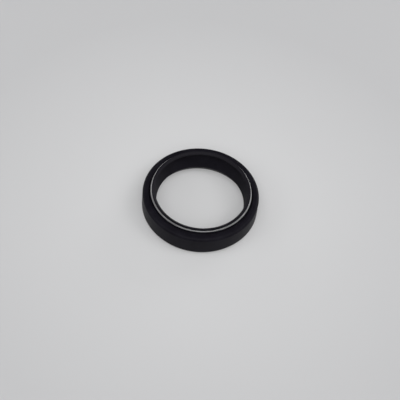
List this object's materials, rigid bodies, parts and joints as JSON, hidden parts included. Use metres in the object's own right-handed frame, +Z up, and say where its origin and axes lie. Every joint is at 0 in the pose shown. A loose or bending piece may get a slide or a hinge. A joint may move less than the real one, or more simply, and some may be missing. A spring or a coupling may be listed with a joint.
{
  "type": "fork seal",
  "caption": "Round moulded rubber seal with a straight outer wall and two sprung lips that wipe and seal a sliding fork tube.",
  "frame": {"origin": "on the seal's axis, level with the foot that it lies on", "axes": "+Z up along the axis, from the foot to the upper lip; X and Y lie in the plane of the foot"},
  "size_m": [0.054, 0.054, 0.0128],
  "materials": {
    "seal_body": "satin moulded rubber",
    "upper_garter_spring": "bright drawn spring wire",
    "lower_garter_spring": "bright drawn spring wire"
  },
  "bodies": {
    "root": {"seal_body": "seal_body", "upper_garter_spring": "upper_garter_spring", "lower_garter_spring": "lower_garter_spring"}
  },
  "joints": []
}
